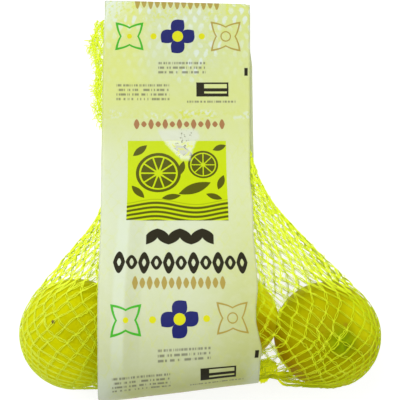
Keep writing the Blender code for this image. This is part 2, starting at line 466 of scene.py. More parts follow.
fruit_turn = np.pi / 2 * np.arange(1, FRUIT_ROWS + 1) / FRUIT_ROWS
net_levels = np.concatenate(
    [
        np.linspace(TONGUE_HEAD_Y, TONGUE_FOOT_Y, TONGUE_ROWS),
        np.linspace(TONGUE_FOOT_Y, TENT_FOOT_Y, TENT_ROWS + 1)[1:],
        TENT_FOOT_Y + (LEVEL_FOOT - TENT_FOOT_Y) * np.sin(fruit_turn),
    ]
)
NET_ROWS = len(net_levels)
NET_HALF_MESHES = 2 * NET_MESHES_ROUND
net_grid = np.array([skin_section(level, NET_HALF_MESHES) for level in net_levels])
from_gather = net_grid - GATHER
pull = GATHER_PULL * np.exp(-((np.linalg.norm(from_gather, axis=2) / GATHER_REACH) ** 2))
pull *= np.clip((net_grid[..., 0] - 35.0) / 3.0, 0, 1)
net_grid -= from_gather * pull[..., None]
crumpled = np.exp(-((np.linalg.norm(from_gather, axis=2) / GATHER_REACH) ** 2))
crumpled *= np.clip((net_grid[..., 0] - 33.0) / 3.0, 0, 1)
for row, column in zip(*np.nonzero(crumpled > 0.05), strict=True):
    shake = noise.noise_vector(Vector(net_grid[row, column]) / 4.5)
    net_grid[row, column] += crumpled[row, column] * GATHER_CRUMPLE * np.array(shake)
net_along = np.gradient(net_grid, axis=0)
net_round = np.roll(net_grid, -1, axis=1) - np.roll(net_grid, 1, axis=1)
net_out = np.cross(net_along, net_round)
net_out /= np.linalg.norm(net_out, axis=2, keepdims=True) + 1e-9
if (net_out[TONGUE_ROWS, NET_MESHES_ROUND // 2] @ (0, 0, 1)) < 0:
    net_out = -net_out


def on_net(grid, row, column):
    """Values of a grid over the net between its rows and columns."""
    row = np.clip(row, 0, NET_ROWS - 1.001)
    low_row, low_column = np.floor(row).astype(int), np.floor(column).astype(int)
    down, on = (row - low_row)[..., None], (column - low_column)[..., None]
    left, right = low_column % NET_HALF_MESHES, (low_column + 1) % NET_HALF_MESHES
    above = grid[low_row, left] * (1 - on) + grid[low_row, right] * on
    below = grid[low_row + 1, left] * (1 - on) + grid[low_row + 1, right] * on
    return above * (1 - down) + below * down


def above_notch(points):
    """Points drawn up to the notch that the hem makes beside the gather."""
    lift = points[..., 2] - GATHER[2]
    line_x, line_y = zip(*NOTCH_LINE, strict=True)
    line = np.interp(points[..., 0] - NOTCH_LEAN[0] * lift, line_x, line_y)
    below = np.minimum(points[..., 1] - line - NOTCH_LEAN[1] * lift, 0)
    points[..., 1] -= (1 - NOTCH_BUNCHING) * below
    return points


def tubes(paths, radius):
    """Points and faces of three-sided tubes along rows of path points, of one or own radii."""
    ahead = np.gradient(paths, axis=1)
    ahead /= np.linalg.norm(ahead, axis=2, keepdims=True) + 1e-9
    side = np.cross(ahead, (0.02, 0.03, 1.0))
    side /= np.linalg.norm(side, axis=2, keepdims=True) + 1e-9
    up = np.cross(side, ahead)
    turn = 2 * np.pi * np.arange(YARN_SIDES) / YARN_SIDES
    ring = side[:, :, None] * np.cos(turn)[:, None] + up[:, :, None] * np.sin(turn)[:, None]
    points = paths[:, :, None] + np.reshape(radius, (-1, 1, 1, 1)) * ring
    many, long = paths.shape[:2]
    index = np.arange(many * long * YARN_SIDES).reshape(many, long, YARN_SIDES)
    after = np.roll(index, -1, axis=2)
    faces = np.stack([index[:, :-1], after[:, :-1], after[:, 1:], index[:, 1:]], axis=-1)
    return points.reshape(-1, 3), faces.reshape(-1, 4)


def knots(places, out, ahead):
    """Points and three-sided faces of small eight-faced knots."""
    side = np.cross(ahead, out)
    size_ahead, size_side, size_out = KNOT_SIZE
    tips = np.stack(
        [
            places + ahead * size_ahead,
            places + side * size_side,
            places - ahead * size_ahead,
            places - side * size_side,
            places + out * size_out,
            places - out * size_out,
        ],
        axis=1,
    )
    upper = [(a, (a + 1) % 4, 4) for a in range(4)]
    lower = [((a + 1) % 4, a, 5) for a in range(4)]
    faces = np.array(upper + lower)[None] + 6 * np.arange(len(places))[:, None, None]
    return tips.reshape(-1, 3), faces.reshape(-1, 3)


def yarn_mesh(name, parts):
    """One mesh of several (points, faces) parts, given in millimetres."""
    points, sizes, corners, base = [], [], [], 0
    for part_points, part_faces in parts:
        points.append(part_points)
        corners.append((part_faces + base).ravel())
        sizes.append(np.full(len(part_faces), part_faces.shape[1]))
        base += len(part_points)
    points, sizes = np.concatenate(points) * MM, np.concatenate(sizes)
    corners = np.concatenate(corners)
    mesh = bpy.data.meshes.new(name)
    mesh.vertices.add(len(points))
    mesh.vertices.foreach_set("co", points.ravel())
    mesh.loops.add(len(corners))
    mesh.loops.foreach_set("vertex_index", corners)
    mesh.polygons.add(len(sizes))
    mesh.polygons.foreach_set("loop_start", np.append(0, np.cumsum(sizes)[:-1]))
    mesh.update(calc_edges=True)
    return mesh


# Painted light and shade in the yarn's colour: pale where it hangs free and light comes through it, lighter on
# the left, deeper where fruit lies under it, darker in one shaded hollow
YARN_PAINTED_LIT_HANGING_FREE = srgb(213, 229, 50)
YARN_PAINTED_SHADE_ON_FRUIT = srgb(189, 204, 22)
YARN_PAINTED_LIT_ON_LEFT = srgb(200, 214, 60)
YARN_SHADED = srgb(164, 166, 2)
YARN_PAINTED_LIGHT_AT_GATHER = srgb(234, 238, 30)
# Painted light: the yarn glows a little in its own colour, which lifts its shadows.
yarn_finish = Finish("lime_yarn", Roughness=0.5, Specular_IOR_Level=0.05, Emission_Strength=0.18)
yarn_place = yarn_finish.place()
split = {"Vector": yarn_place}
along_pack = yarn_finish.node("ShaderNodeSeparateXYZ", inputs=split, output="Y")
across_pack = yarn_finish.node("ShaderNodeSeparateXYZ", inputs=split, output="X")
yarn_colour = yarn_finish.mix(across_pack.rise(-0.090, -0.050), YARN_PAINTED_LIT_ON_LEFT, YARN_PAINTED_SHADE_ON_FRUIT)
yarn_colour = yarn_finish.mix(along_pack.rise(-0.062, -0.048), yarn_colour, YARN_PAINTED_LIT_HANGING_FREE)
uneven = yarn_finish.mottle(yarn_place, 0.004, 2.0)
yarn_colour = yarn_finish.mix(uneven.rise(0.45, 0.75) * 0.25, yarn_colour, srgb(224, 232, 80))
in_shade = yarn_finish.distance(yarn_place, (0.0520, -0.1020, 0.0420))
yarn_colour = yarn_finish.mix(0.6 * (1 - in_shade.rise(0.014, 0.030)), yarn_colour, YARN_SHADED)
# Painted light: the yarn at the gather is painted brighter and glows more, against its own shadows.
to_gather = yarn_finish.distance(yarn_place, tuple(GATHER * MM))
painted_light_at_gather = 1 - to_gather.rise(0.009, 0.016)
yarn_colour = yarn_finish.mix(painted_light_at_gather, yarn_colour, YARN_PAINTED_LIGHT_AT_GATHER)
glow = yarn_finish.mix(painted_light_at_gather, yarn_colour, (0.95, 1.0, 0.02))
yarn_finish.feed(Base_Color=yarn_colour, Emission_Color=glow)

random.seed(41)
knot_row = np.zeros((NET_ROWS, NET_HALF_MESHES))
knot_column = np.zeros((NET_ROWS, NET_HALF_MESHES))
for row in range(NET_ROWS):
    for column in range(NET_HALF_MESHES):
        turn = 2 * math.pi * column / NET_HALF_MESHES
        where = Vector((3.4 * math.cos(turn), 3.4 * math.sin(turn), row * 0.13))
        free = 1.0 if 0 < row < NET_ROWS - 1 else 0.0
        shift = NET_SHIFT_ALONG * noise.noise(where) + random.uniform(-1, 1) * NET_JITTER
        knot_row[row, column] = row + free * shift
        shift = NET_SHIFT_ROUND * noise.noise(where + Vector((31, 7, 2)))
        knot_column[row, column] = column + 2 * shift + random.uniform(-1, 1) * NET_JITTER

net_sides = {"net_front": [], "net_back": []}
stray_draw = np.random.default_rng(17)
slack = []
for side, name in enumerate(net_sides):
    first = side * NET_MESHES_ROUND
    start_row, start_column, end_step = [], [], []
    for row in range(NET_ROWS - 1):
        for column in range(first + (first + row) % 2, first + NET_MESHES_ROUND, 2):
            for step in (-1, 1):
                start_row.append(row)
                start_column.append(column)
                end_step.append(step)
    start_row, start_column, end_step = map(np.array, (start_row, start_column, end_step))
    end_column = start_column + end_step
    wrap = end_column % NET_HALF_MESHES
    row_a, column_a = knot_row[start_row, start_column], knot_column[start_row, start_column]
    row_b = knot_row[start_row + 1, wrap]
    column_b = knot_column[start_row + 1, wrap] + (end_column - wrap)
    share = np.arange(YARN_STEPS + 1) / YARN_STEPS
    rows_at = row_a[:, None] + share * (row_b - row_a)[:, None]
    columns_at = column_a[:, None] + share * (column_b - column_a)[:, None]
    strand = above_notch(on_net(net_grid, rows_at, columns_at))
    out = on_net(net_out, rows_at, columns_at)
    ahead = np.gradient(strand, axis=1)
    beside = np.cross(ahead, out)
    beside /= np.linalg.norm(beside, axis=2, keepdims=True) + 1e-9
    apart = YARN_APART_AT_KNOT + (YARN_APART_BETWEEN - YARN_APART_AT_KNOT) * np.sin(np.pi * share)
    on_fruit = np.array([net_levels[row] < TENT_FOOT_Y for row in start_row])
    radii = np.where(on_fruit, YARN_RADIUS_ON_FRUIT, YARN_RADIUS)
    for way in (-1, 1):
        stray = stray_draw.normal(0, YARN_STRAY, (*strand.shape[:2], 1))
        stray = stray * np.sin(np.pi * share)[:, None]
        path = off_fruit(strand + (way * apart[:, None] + stray) * beside, NET_OFF_FRUIT)
        path[..., 2] = np.maximum(path[..., 2], NET_LOWEST)
        net_sides[name].append(tubes(path, radii))
    from_fold = np.minimum(start_column - first, first + NET_MESHES_ROUND - start_column)
    in_tents = ~on_fruit & (start_row >= TONGUE_ROWS)
    at_fold = in_tents & (from_fold < FOLD_COLUMNS)
    slack_kept = [~on_fruit | (stray_draw.random(len(strand)) < SLACK_ON_FRUIT)]
    for kept in slack_kept + [at_fold] * FOLD_LAYERS:
        swing = stray_draw.uniform(*SLACK_SWING, (len(strand), 1))
        swing = swing * stray_draw.choice((-1, 1), (len(strand), 1))
        swing = swing * np.sin(np.pi * share) + 0.4 * swing * np.sin(3 * np.pi * share)
        path = off_fruit(strand + swing[..., None] * beside, NET_OFF_FRUIT)
        path[..., 2] = np.maximum(path[..., 2], NET_LOWEST)
        slack.append(path[kept])
    even = end_step > 0
    place = off_fruit(strand[even, 0], NET_OFF_FRUIT)
    place[:, 2] = np.maximum(place[:, 2], NET_LOWEST)
    down = ahead[even, 0] / (np.linalg.norm(ahead[even, 0], axis=1, keepdims=True) + 1e-9)
    net_sides[name].append(knots(place, out[even, 0], down))
for name, parts in net_sides.items():
    add_piece(name, yarn_mesh(name, parts), yarn_finish, "net", "net_bag")
slack_tubes = tubes(np.concatenate(slack), SLACK_RADIUS)
add_piece("net_slack", yarn_mesh("net_slack", [slack_tubes]), yarn_finish, "net", "net_bag")

# Loose yarn
# Cut ends that stand out of the net's raw left edge at its head, small slack loops along its
# right fold, and the pinched bundle where its foot is drawn in beside the film.
LOOSE_STEPS = 9
LOOSE_RADIUS = 0.24
RAW_EDGE_ENDS = 310
RAW_EDGE_Y = np.array((110, 105, 98, 94, 88, 80, 70, 60, 52, 46, 41))
RAW_EDGE_X = np.array((-67.5, -66.0, -71.0, -72.0, -70.0, -68.0, -69.0, -69.5, -68.5, -66.0, -62.0))
FOLD_LOOPS = 18
FOLD_Y = np.array((30.0, 12.0, 3.0, -7.0, -30.0, -52.0, -72.0, -84.0))
FOLD_X = np.array((31.5, 36.2, 41.0, 48.0, 68.5, 91.0, 106.0, 107.5))
GATHER_ENDS = 380
GATHER_KNOT = np.array((38.6, -114.7, 20.5))
HEM_STRANDS = 44
HEM = np.array(
    (
        (38.4, -115.0, 20.5),
        (43.8, -110.6, 21.0),
        (52.5, -117.4, 21.0),
        (61.5, -117.0, 24.0),
        (84.0, -116.2, 32.0),
    )
)
HEM_SHARE = (0.0, 0.14, 0.35, 0.55, 1.0)


def loose_end(start, way, length, curl):
    """Path of a filament that leaves a place in one direction and curls as it goes."""
    heading = math.atan2(way[1], way[0])
    place = np.array(start, dtype=float)
    path = [place.copy()]
    rise = random.uniform(-0.12, 0.12)
    for _ in range(LOOSE_STEPS):
        heading += curl * random.uniform(0.5, 1.5)
        step = length / LOOSE_STEPS
        place += step * np.array((math.cos(heading), math.sin(heading), rise))
        place[2] = max(place[2], NET_LOWEST)
        path.append(place.copy())
    return path


random.seed(7)
loose = []
for _ in range(RAW_EDGE_ENDS):
    y = random.uniform(RAW_EDGE_Y[-1], RAW_EDGE_Y[0])
    x = np.interp(-y, -RAW_EDGE_Y, RAW_EDGE_X) + random.uniform(2.0, 6.5)
    way = (-1.0, random.uniform(-0.9, 1.2))
    length = random.uniform(1.8, 5.0) + 1.5 * math.exp(-(((y - 95) / 6) ** 2))
    start = (x, y, random.uniform(0.8, 2.0))
    loose.append(loose_end(start, way, length, random.uniform(-0.5, 0.5)))
for _ in range(FOLD_LOOPS):
    y = FOLD_Y[0] + (FOLD_Y[-1] - FOLD_Y[0]) * random.random() ** 1.8
    x = np.interp(-y, -FOLD_Y, FOLD_X) - random.uniform(1.2, 2.6)
    z = np.interp(-y, (-30.0, 12.0, 52.0, 84.0), (2.0, 9.0, 28.0, 36.0)) + random.uniform(-1, 1)
    way = (random.uniform(0.5, 1.0), random.uniform(-1.0, 1.0))
    turn = random.choice((-1, 1)) * random.uniform(0.35, 0.6)
    loose.append(loose_end((x, y, z), way, random.uniform(2.0, 4.0), turn))
for _ in range(GATHER_ENDS):
    heading = random.uniform(0.8, 1.9)
    reach = random.uniform(3.0, 13.5)
    aside = (reach * math.cos(heading), reach * math.sin(heading), random.uniform(-3, 7))
    start = GATHER + np.array(aside)
    start = off_fruit(start[None], 1.0)[0]
    end = GATHER_KNOT + np.array([random.gauss(0, s) for s in (1.1, 0.6, 1.2)])
    bend = np.array([random.uniform(-lowest, 2.6) for lowest in (2.6, 0.4, 2.6)])
    path = []
    for share in np.arange(LOOSE_STEPS + 1) / LOOSE_STEPS:
        path.append(start + share * (end - start) + bend * math.sin(math.pi * share))
    loose.append(path)
for _ in range(HEM_STRANDS):
    lift = np.array([random.gauss(0, s) for s in (0.7, 0.3, 1.0)])
    hem_at = np.arange(LOOSE_STEPS + 1) / LOOSE_STEPS
    first = random.uniform(0.0, 0.75)
    along = first + hem_at * 0.25
    path = [np.interp(along, HEM_SHARE, HEM[:, i]) + lift[i] for i in range(3)]
    sway = [random.uniform(-0.3, 0.3) * np.sin(3 * math.pi * hem_at) for _ in range(3)]
    loose.append(list(np.stack(path, axis=1) + np.stack(sway, axis=1)))
loose_tubes = tubes(np.array(loose), LOOSE_RADIUS)
add_piece("net_loose_yarn", yarn_mesh("net_loose_yarn", [loose_tubes]), yarn_finish, "net")

# Film band
# One strip of thin milky film down the front, round the foot of the fruit and up the back,
# welded through the net in two blotchy lines. It is printed as an endless strip.
FILM_WIDTH = 92.5
FILM_THICKNESS = 0.12
FILM_MIDDLE_AT_HEAD = -14.5
FILM_MIDDLE_AT_FOOT = -11.5
FILM_HEAD = [(114, 2.6), (84, 2.8), (52, 2.8), (24, 4), (-4, 20), (-31, 44)]
FILM_BACK = [(-60, 0.25), (0, 0.25), (62, 0.25)]
FILM_LEFT_FOOT = [
    (-54, 63),
    (-76, 70.5),
    (-98, 72),
    (-116, 64),
    (-123, 46),
    (-124, 24),
    (-116, 4),
    (-104, 0.25),
    (-90, 0.25),
]
FILM_RIGHT_FOOT = [
    (-54, 62),
    (-74, 67),
    (-92, 67.5),
    (-106, 59),
    (-112, 44),
    (-113, 24),
    (-107, 4),
    (-97, 0.25),
    (-84, 0.25),
]
FILM_LEFT_EDGE = [(123.4, 1.15), *FILM_HEAD, *FILM_LEFT_FOOT, *FILM_BACK, (123.4, 0.25)]
FILM_RIGHT_EDGE = [(121, 1.15), *FILM_HEAD, *FILM_RIGHT_FOOT, *FILM_BACK, (121, 0.25)]
FILM_GRID = 1.5
PRINT_REPEAT = 190.4


def b_spline(points, spans):
    """Smooth line of a few control points, which starts and ends on the first and last."""
    points = np.array(points, dtype=float)
    ends = np.vstack([2 * points[0] - points[1], points, 2 * points[-1] - points[-2]])
    t = (np.arange(spans) / spans)[:, None]
    line = [
        ((1 - t) ** 3 * a + (3 * t**3 - 6 * t**2 + 4) * b + (-3 * t**3 + 3 * t**2 + 3 * t + 1) * c + t**3 * d) / 6
        for a, b, c, d in zip(ends, ends[1:], ends[2:], ends[3:], strict=False)
    ]
    return np.vstack([*line, points[-1:]])


film_left, film_right = b_spline(FILM_LEFT_EDGE, 24), b_spline(FILM_RIGHT_EDGE, 24)
film_mean = (film_left + film_right) / 2
film_run = np.append(0, np.cumsum(np.linalg.norm(np.diff(film_mean, axis=0), axis=1)))
FILM_LENGTH = film_run[-1]


def film_rest(u, v):
    """Point on the smooth band, u across it from its left edge and v down it from its head."""
    left = np.array([np.interp(v, film_run, film_left[:, i]) for i in (0, 1)])
    right = np.array([np.interp(v, film_run, film_right[:, i]) for i in (0, 1)])
    y, z = left + u / FILM_WIDTH * (right - left)
    ease = (film_mean[0, 0] - y) / np.ptp(film_mean[:, 0])
    ease = ease * ease * (3 - 2 * ease)
    x = FILM_MIDDLE_AT_HEAD + (FILM_MIDDLE_AT_FOOT - FILM_MIDDLE_AT_HEAD) * ease
    return Vector((x + u - FILM_WIDTH / 2, y, z))


def bell(distance, width):
    return math.exp(-((distance / width) ** 2))


CREASE_U = (17.0, 14.5)
CREASE_V = (142.0, 232.0)
CRUMPLE = (47.0, 90.0)
FRONT_END_V = 305.0
EDGE_STRAY_WIDTH = 26.0
LEFT_STRAY = {
    0: 0.9,
    12: 0.1,
    37: -1.0,
    62: -1.6,
    83: -2.3,
    101: -2.6,
    130: -1.9,
    153: -0.9,
    185: -0.25,
    227: 0.3,
    243: 0.0,
    257: -0.9,
    290: 0.0,
}
RIGHT_STRAY = {
    0: -3.1,
    2.8: 0.0,
    37: -0.2,
    62: -0.5,
    94: -1.2,
    115: -1.9,
    133: -1.0,
    159: -1.8,
    182: -1.1,
    195: -1.0,
    207: -2.5,
    215: -2.7,
    223: -1.3,
    232: 0.5,
    242: -0.6,
    261: -0.6,
    290: 0.0,
    415: 0.0,
    425: 1.3,
    505: 1.3,
    515: 0.0,
}


def edge_stray(u, v):
    """How far the cut edges wander from straight lines, fading towards the band's middle."""
    left = float(np.interp(v, list(LEFT_STRAY), list(LEFT_STRAY.values())))
    right = float(np.interp(v, list(RIGHT_STRAY), list(RIGHT_STRAY.values())))
    near_left = max(0.0, 1 - u / EDGE_STRAY_WIDTH) ** 2
    near_right = max(0.0, 1 - (FILM_WIDTH - u) / EDGE_STRAY_WIDTH) ** 2
    return left * near_left + right * near_right


def film_relief(u, v):
    """How far the band stands off its smooth line: soft waves, one long crease, a crumple."""
    front = min(1.0, max(0.0, (FRONT_END_V - v) / 40))
    if front == 0:
        return 0.0
    wave = 0.5 + 0.5 * noise.noise(Vector((u / 30, v / 42, 3.1)))
    ripple = 0.5 + 0.5 * noise.noise(Vector((u / 11, v / 17, 8.2)))
    height = 0.7 * wave + 0.25 * ripple
    t = (v - CREASE_V[0]) / (CREASE_V[1] - CREASE_V[0])
    if -0.15 < t < 1.2:
        crease = CREASE_U[0] + t * (CREASE_U[1] - CREASE_U[0])
        ends = min(1.0, max(0.0, (t + 0.15) / 0.3)) * min(1.0, max(0.0, (1.2 - t) / 0.3))
        aside = u - crease
        height += 1.0 * ends * (max(0.0, 1 + aside / 16) if aside < 0 else bell(aside, 4.5))
    away = math.hypot(u - CRUMPLE[0], (v - CRUMPLE[1]) * 0.8)
    rough = abs(noise.noise(Vector((u / 2.6, v / 3.0, 1.0))))
    rough += 0.5 * abs(noise.noise(Vector((u, v, 5.0))))
    height += 1.3 * bell(away, 9.0) * rough
    return front * height


film_shape = bmesh.new()
film_uv = film_shape.loops.layers.uv.new("band")
across = np.linspace(0, FILM_WIDTH, round(FILM_WIDTH / FILM_GRID) + 1)
down = np.linspace(0, FILM_LENGTH, round(FILM_LENGTH / FILM_GRID) + 1)
film_rows = []
for v in down:
    row = []
    for u in across:
        wandered = u + edge_stray(u, v)
        here = film_rest(wandered, v)
        step_u = film_rest(wandered + 0.5, v) - here
        after, before = min(v + 0.5, FILM_LENGTH), max(v - 0.5, 0)
        step_v = film_rest(wandered, after) - film_rest(wandered, before)
        out = step_v.cross(step_u).normalized()
        if v < 2:
            out = Vector((0, 0, 1))
        row.append(film_shape.verts.new((here + out * film_relief(u, v)) * MM))
    film_rows.append(row)
for upper, lower, v, next_v in zip(film_rows, film_rows[1:], down, down[1:], strict=False):
    for i in range(len(across) - 1):
        face = film_shape.faces.new((upper[i], lower[i], lower[i + 1], upper[i + 1]))
        corners = (
            (across[i], v),
            (across[i], next_v),
            (across[i + 1], next_v),
            (across[i + 1], v),
        )
        for loop, corner in zip(face.loops, corners, strict=True):
            loop[film_uv].uv = (corner[0] * MM, corner[1] * MM)
film_mesh = bpy.data.meshes.new("film")
film_shape.to_mesh(film_mesh)
film_shape.free()

film_finish = Finish("milky_film", Roughness=0.42, Specular_IOR_Level=0.12)
uv = film_finish.node("ShaderNodeUVMap", {"uv_map": "band"})
split = {"Vector": uv}
u = film_finish.node("ShaderNodeSeparateXYZ", inputs=split, output="X") * 1000
v = film_finish.node("ShaderNodeSeparateXYZ", inputs=split, output="Y") * 1000
w = v.math("MODULO", v, PRINT_REPEAT)
band_place = film_finish.node("ShaderNodeCombineXYZ", inputs={"X": u, "Y": v})


def between(value, low, high, soft):
    """1 from low to high, with a soft slope at both ends."""
    return value.rise(low - soft, low + soft) * (1 - value.rise(high - soft, high + soft))


# Film colours: bare film, film over yarn, film over fruit, painted shade at the foot, and where it is pressed or
# creased, with painted light, painted shade and painted glare
FILM_BARE = srgb(207, 215, 193)
FILM_OVER_YARN = srgb(210, 218, 134)
FILM_OVER_FRUIT = srgb(178, 184, 108)
FILM_PAINTED_SHADE_AT_FOOT = srgb(186, 190, 80)
FILM_PRESSED_AND_PAINTED_LIGHT = srgb(214, 225, 214)
FILM_HAZE_AND_PAINTED_GLARE = srgb(214, 218, 208)
FILM_DULL = srgb(194, 206, 200)
YARN_SHOWING = srgb(206, 214, 66)
FILM_DARK_FLECKS_AND_SHADE = srgb(120, 122, 96)

colour = film_finish.mix(v.rise(46.0, 124.0) * 0.88, FILM_OVER_YARN, FILM_BARE)
right_side = u.rise(52.0, 88.0)
colour = film_finish.mix(right_side * v.rise(56.0, 96.0) * 0.42, colour, FILM_OVER_YARN)
colour = film_finish.mix(right_side * (1 - v.rise(8.0, 44.0)) * 0.55, colour, YARN_SHOWING)
front = 1 - v.rise(320.0, 390.0)
over_fruit = v.rise(134.0, 262.0) * 0.48 + right_side * v.rise(105.0, 200.0) * 0.34
colour = film_finish.mix(front * over_fruit, colour, FILM_OVER_FRUIT)
# Painted shade: the band darkens where it turns down round the foot.
colour = film_finish.mix(front * v.rise(234.0, 262.0) * 0.45, colour, FILM_PAINTED_SHADE_AT_FOOT)
dull_head = u.rise(16.0, 34.0) * (1 - right_side * 0.5) * (1 - v.rise(32.0, 70.0))
colour = film_finish.mix(dull_head * 0.42, colour, FILM_DULL)
head_corner = 1 - (u + 0.8 * v).rise(5.0, 25.0)
colour = film_finish.mix(head_corner * 0.85, colour, FILM_PRESSED_AND_PAINTED_LIGHT)
# Painted light: the margins near the foot are painted paler.
foot_margin_painted_light = (1 - u.rise(2.0, 20.0)).or_more(u.rise(80.0, 90.0) * 0.8)
colour = film_finish.mix(foot_margin_painted_light * between(v, 240.0, 300.0, 8.0) * 0.6, colour, FILM_PRESSED_AND_PAINTED_LIGHT)

LATTICE_PITCH = (6.4, 11.0)
warp = film_finish.mottle(band_place, 9.0, 3.0) - 0.5
lattice_u = ((u + 7.0 * warp) * (2 * math.pi / LATTICE_PITCH[0]) + math.pi / 2).wave()
lattice_v = ((v - 5.0 * warp) * (2 * math.pi / LATTICE_PITCH[1]) + math.pi / 2).wave()
lattice = (lattice_u + lattice_v).size()
blobs = lattice.rise(0.80, 1.60)
threads = 1 - lattice.rise(0.06, 0.50)
uneven = film_finish.mottle(band_place, 17.0, 2.0)
top_strip = between(v, 3.0, 17.0, 3.0)
slant = between(u + 0.75 * v, 78.0, 98.0, 5.0) * (1 - v.rise(44.0, 58.0))
at_head = top_strip.or_more(slant).or_more(0.5 * (1 - v.rise(20.0, 60.0)))
colour = film_finish.mix(at_head * blobs * uneven.rise(0.36, 0.56) * 0.9, colour, FILM_PRESSED_AND_PAINTED_LIGHT)
lace_zone = (1 - v.rise(9.0, 16.0)).or_more(0.5 * at_head)
lace = film_finish.mottle(band_place, 2.2, 3.0).rise(0.50, 0.60)
colour = film_finish.mix(lace_zone * lace * (1 - uneven.rise(0.44, 0.58)) * 0.6, colour, YARN_SHOWING)
faint = v.rise(60.0, 100.0) * 0.7 + 0.3
colour = film_finish.mix(faint * threads * uneven.rise(0.40, 0.60) * 0.20, colour, YARN_SHOWING)

SEAL = (69.0, 74.5)
seal = between(v + 3.0 * warp, SEAL[0], SEAL[1], 0.9)
clump = film_finish.mottle(band_place, 2.4, 2.0)
cluster = film_finish.mottle(band_place, 12.0, 1.0)
pressed = seal * clump.rise(0.50, 0.58) * cluster.rise(0.48, 0.58)
showing = seal * (1 - clump.rise(0.42, 0.50)) * (between(u, 44.0, 68.0, 4.0) * 0.7 + 0.25)
colour = film_finish.mix(pressed * 0.65, colour, FILM_PRESSED_AND_PAINTED_LIGHT)
colour = film_finish.mix(showing * 0.8, colour, YARN_SHOWING)

# Painted shade on one side of the long crease and painted light on the other.
crease_line = u - (CREASE_U[0] + (v - CREASE_V[0]) * ((CREASE_U[1] - CREASE_U[0]) / 90.0))
along_crease = between(v, 138.0, 236.0, 10.0)
colour = film_finish.mix(along_crease * between(crease_line, -0.2, 9.0, 0.8) * 0.07, colour, FILM_DARK_FLECKS_AND_SHADE)
colour = film_finish.mix(along_crease * between(crease_line, -7.0, -0.2, 1.2) * 0.35, colour, FILM_PRESSED_AND_PAINTED_LIGHT)
haze = film_finish.mottle(band_place, 6.0, 4.0).rise(0.44, 0.64)
colour = film_finish.mix(haze * 0.10, colour, FILM_HAZE_AND_PAINTED_GLARE)

# Print on the film, in millimetres across and down one repeat
PRINT_EDGE = 0.16
LIME_INK = srgb(178, 197, 0)
OLIVE_INK = srgb(76, 78, 2)
DARK_INK = srgb(36, 33, 18)
GREY_INK = srgb(96, 96, 80)
RED_INK = srgb(140, 70, 30)
OCHRE_INK = srgb(150, 128, 40)
GREEN_INK = srgb(62, 160, 34)
YELLOW_INK = srgb(196, 196, 8)
NAVY_INK = srgb(20, 26, 92)


def inside(depth):
    """1 where a shape's depth in millimetres is above 0, with a soft printed edge."""
    return depth.rise(-PRINT_EDGE, PRINT_EDGE)


def bar(left, right, top, bottom):
    """Upright rectangle in the print."""
    wide = (right - left) / 2 - (u - (left + right) / 2).size()
    high = (bottom - top) / 2 - (w - (top + bottom) / 2).size()
    return inside(wide.or_less(high))


def disc(x, y, radius):
    du, dw = u - x, w - y
    return inside(radius - (du * du + dw * dw) ** 0.5)


def leaf_at(du, dw, half_length, half_width, angle=0.0):
    """Pointed oval round the place where du and dw are 0, turned by an angle in degrees."""
    if angle == 0.0:
        along, aside = du * (1 / half_length), dw.size()
    else:
        cos, sin = math.cos(math.radians(angle)), math.sin(math.radians(angle))
        along = (du * cos - dw * sin) * (1 / half_length)
        aside = (dw * cos + du * sin).size()
    return inside(half_width * (1 - along * along) - aside)


def leaf(x, y, half_length, half_width, angle=0.0):
    return leaf_at(u - x, w - y, half_length, half_width, angle)


def leaf_row(first, step, count, down, half_length, half_width, angle=0.0, fewer=0.0):
    """Leaves in a row across the band; every second one is mirrored, and smaller by fewer."""
    place = (u - first) * (1 / step) + 0.5
    number = place.math("FLOOR", place)
    odd = (number * 0.5).math("FRACT", number * 0.5) * 2
    du = (place - number - 0.5) * step * (1 - 2 * odd)
    ends = between(place, 0.0, count, 0.02)
    return ends * leaf_at(du, down, half_length, half_width * (1 - fewer * odd), angle)


def wheel(x, y, radius, wedges):
    """Cut face of a citrus fruit: rind line, and wedges of flesh with gaps between."""
    du, dw = u - x, w - y
    away = (du * du + dw * dw) ** 0.5
    turn = dw.math("ARCTAN2", dw, du)
    gap = (turn * (wedges / 2)).wave().size() * away * (2 / wedges)
    flesh = (gap - 0.035 * radius).or_less(0.78 * radius - away).or_less(away - 0.10 * radius)
    rind = inside(0.07 * radius - (away - 0.93 * radius).size())
    return inside(flesh).or_more(rind)


def fine_rows(left, right, top, bottom, row_pitch):
    """Block of rows of short uneven strokes, as fine as the smallest print."""
    down = (w - top) * (1 / row_pitch)
    row = down.math("FLOOR", down)
    strokes = film_finish.node("ShaderNodeCombineXYZ", inputs={"X": u, "Y": row * 9.7})
    broken = film_finish.mottle(strokes, 1.1, 1.0).rise(0.44, 0.52)
    return broken * between(down - row, 0.22, 0.74, 0.12) * bar(left, right, top, bottom)


def any_of(*shapes):
    shown = shapes[0]
    for shape in shapes[1:]:
        shown = shown.or_more(shape)
    return shown


def cross_of_leaves(x, y, half_length, half_width):
    """Two pointed ovals across each other, slanted."""
    return any_of(*[leaf(x, y, half_length, half_width, angle) for angle in (45, -45)])


def outlined_cross(x, y, half_length, half_width, line):
    inner = cross_of_leaves(x, y, half_length - 2.4 * line, half_width - line)
    return cross_of_leaves(x, y, half_length, half_width) * (1 - inner)


